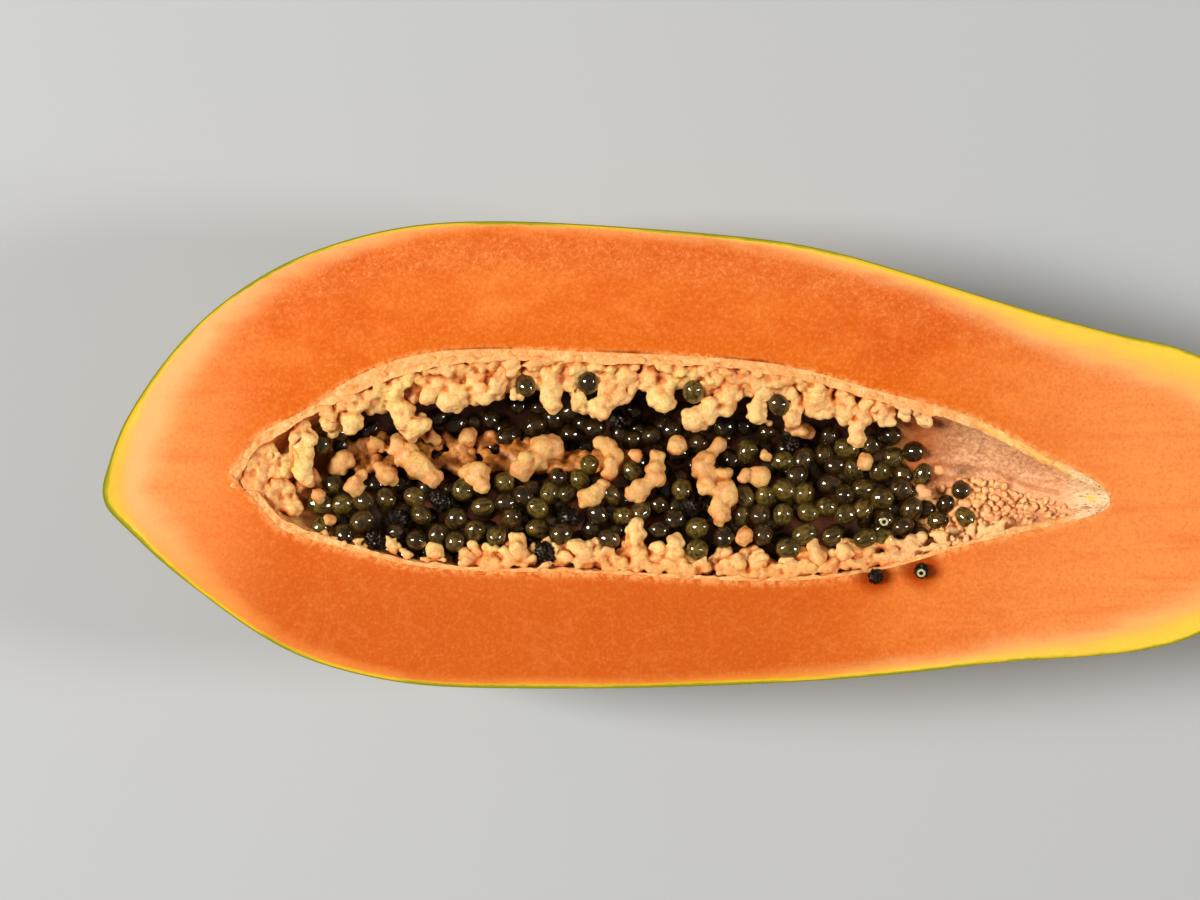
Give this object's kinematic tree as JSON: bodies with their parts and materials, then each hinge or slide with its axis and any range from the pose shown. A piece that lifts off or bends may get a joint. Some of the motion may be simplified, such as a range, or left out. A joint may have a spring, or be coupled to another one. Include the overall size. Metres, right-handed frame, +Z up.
{
  "type": "papaya half",
  "caption": "Ripe papaya cut lengthwise, lying on its rounded back with the cut face up: orange flesh, green-yellow skin, and a long hollow lined with pale pulp and dark seeds.",
  "frame": {"origin": "under the middle of the half's outline, at the level of the surface it rests on", "axes": "+X runs along the fruit towards the stem end, +Y across the cut face towards the wider side, +Z up, out of the cut face"},
  "size_m": [0.3202, 0.1273, 0.06],
  "materials": {
    "flesh": "moist orange fruit flesh, finely granular, semi-gloss, with a thin green to yellow skin on the outside",
    "lining": "pale peach spongy pulp, moist and slightly glossy",
    "seeds": "wet glossy dark olive to black seeds in clear gel"
  },
  "bodies": {
    "root": {"papaya_flesh": "flesh", "cavity_lining": "lining", "seed_heap": "seeds"}
  },
  "joints": []
}
